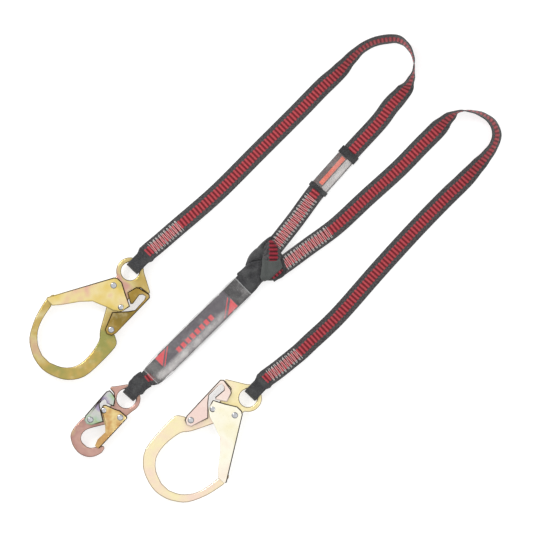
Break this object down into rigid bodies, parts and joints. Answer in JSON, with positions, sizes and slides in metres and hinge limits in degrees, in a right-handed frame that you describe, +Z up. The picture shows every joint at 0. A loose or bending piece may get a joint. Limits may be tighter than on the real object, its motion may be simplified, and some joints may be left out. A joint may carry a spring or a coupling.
{
  "type": "shock absorbing lanyard",
  "caption": "Forked webbing lanyard with a film-covered energy absorber, wide self-locking anchor hooks on its legs and a snap hook for a harness.",
  "frame": {"origin": "middle of the laid-out footprint, at ground level", "axes": "+Z up from the ground; the absorber and the hooks lie at about 45 degrees between +X and +Y"},
  "size_m": [0.7796, 0.7734, 0.0303],
  "materials": {
    "gold_zinc_steel": "forged steel, yellow zinc plated, with an uneven gold, olive and pink sheen",
    "pale_zinc_steel": "pressed sheet steel, yellow zinc plated, pale gold",
    "rivet_steel": "bright domed steel rivet heads",
    "spring_steel": "drawn spring wire",
    "leg_webbing": "woven polyester, charcoal with a red ribbed stripe down the middle",
    "black_webbing": "woven black polyester",
    "stitch_thread": "light grey bonded thread",
    "clear_film": "thin clear heat-shrunk film",
    "label_print": "dark printed label with plain red corner marks",
    "black_elastic": "black knitted elastic"
  },
  "bodies": {
    "strap_assembly": {"leg_a_webbing": "leg_webbing", "leg_a_eye_sleeve": "black_webbing", "leg_a_hook_stitching": "stitch_thread", "leg_a_junction_stitching": "stitch_thread", "leg_b_webbing": "leg_webbing", "leg_b_eye_sleeve": "black_webbing", "leg_b_hook_stitching": "stitch_thread", "leg_b_junction_stitching": "stitch_thread", "pouch_film": "clear_film", "pouch_label": "label_print", "pouch_lower_band": "black_elastic", "pouch_upper_band": "black_elastic", "absorber_cover": "clear_film", "absorber_label": "label_print", "tear_webbing": "black_webbing", "absorber_bottom_strap": "black_webbing", "snap_hook_eye_sleeve": "black_webbing", "absorber_top_strap": "black_webbing", "junction_wrap": "black_webbing"},
    "hook_a": {"hook_a_body": "gold_zinc_steel", "hook_a_gate_pivot_rivet": "rivet_steel", "hook_a_lever_pivot_rivet": "rivet_steel"},
    "hook_a_gate": {"hook_a_gate": "pale_zinc_steel", "hook_a_gate_tail_rivet": "rivet_steel", "hook_a_gate_spring": "spring_steel"},
    "hook_a_lock_lever": {"hook_a_lock_lever": "pale_zinc_steel", "hook_a_lever_spring": "spring_steel"},
    "hook_b": {"hook_b_body": "gold_zinc_steel", "hook_b_gate_pivot_rivet": "rivet_steel", "hook_b_lever_pivot_rivet": "rivet_steel"},
    "hook_b_gate": {"hook_b_gate": "pale_zinc_steel", "hook_b_gate_tail_rivet": "rivet_steel", "hook_b_gate_spring": "spring_steel"},
    "hook_b_lock_lever": {"hook_b_lock_lever": "pale_zinc_steel", "hook_b_lever_spring": "spring_steel"},
    "snap_hook": {"snap_hook_body": "gold_zinc_steel", "snap_hook_gate_pivot_rivet": "rivet_steel", "snap_hook_lever_pivot_rivet": "rivet_steel"},
    "snap_hook_gate": {"snap_hook_gate": "pale_zinc_steel", "snap_hook_gate_tail_rivet": "rivet_steel", "snap_hook_gate_spring": "spring_steel"},
    "snap_hook_lock_lever": {"snap_hook_lock_lever": "pale_zinc_steel", "snap_hook_lever_spring": "spring_steel"}
  },
  "joints": [
    {"name": "hook_a_swing", "type": "hinge", "parent": "strap_assembly", "child": "hook_a", "pos_m": [-0.21222, 0.00682, 0.013], "axis": [-0.7218, 0.6921, 0], "range_deg": [-90, 90]},
    {"name": "hook_a_gate_open", "type": "hinge", "parent": "hook_a", "child": "hook_a_gate", "pos_m": [-0.25088, -0.02843, 0.013], "axis": [0, 0, 1], "range_deg": [0, 40]},
    {"name": "hook_a_lever_squeeze", "type": "hinge", "parent": "hook_a", "child": "hook_a_lock_lever", "pos_m": [-0.25494, -0.10144, 0.013], "axis": [0, 0, 1], "range_deg": [0, 10]},
    {"name": "hook_b_swing", "type": "hinge", "parent": "strap_assembly", "child": "hook_b", "pos_m": [-0.01779, -0.20212, 0.013], "axis": [0.7314, -0.682, 0], "range_deg": [-90, 90]},
    {"name": "hook_b_gate_open", "type": "hinge", "parent": "hook_b", "child": "hook_b_gate", "pos_m": [-0.05083, -0.24268, 0.013], "axis": [0, 0, -1], "range_deg": [0, 40]},
    {"name": "hook_b_lever_squeeze", "type": "hinge", "parent": "hook_b", "child": "hook_b_lock_lever", "pos_m": [-0.12349, -0.25081, 0.013], "axis": [0, 0, -1], "range_deg": [0, 10]},
    {"name": "snap_hook_swing", "type": "hinge", "parent": "strap_assembly", "child": "snap_hook", "pos_m": [-0.21882, -0.2027, 0.013], "axis": [0.7443, -0.6678, 0], "range_deg": [-90, 90]},
    {"name": "snap_hook_gate_open", "type": "hinge", "parent": "snap_hook", "child": "snap_hook_gate", "pos_m": [-0.23997, -0.24634, 0.013], "axis": [0, 0, -1], "range_deg": [0, 22]},
    {"name": "snap_hook_lever_squeeze", "type": "hinge", "parent": "snap_hook", "child": "snap_hook_lock_lever", "pos_m": [-0.28948, -0.25001, 0.013], "axis": [0, 0, -1], "range_deg": [0, 10]}
  ]
}
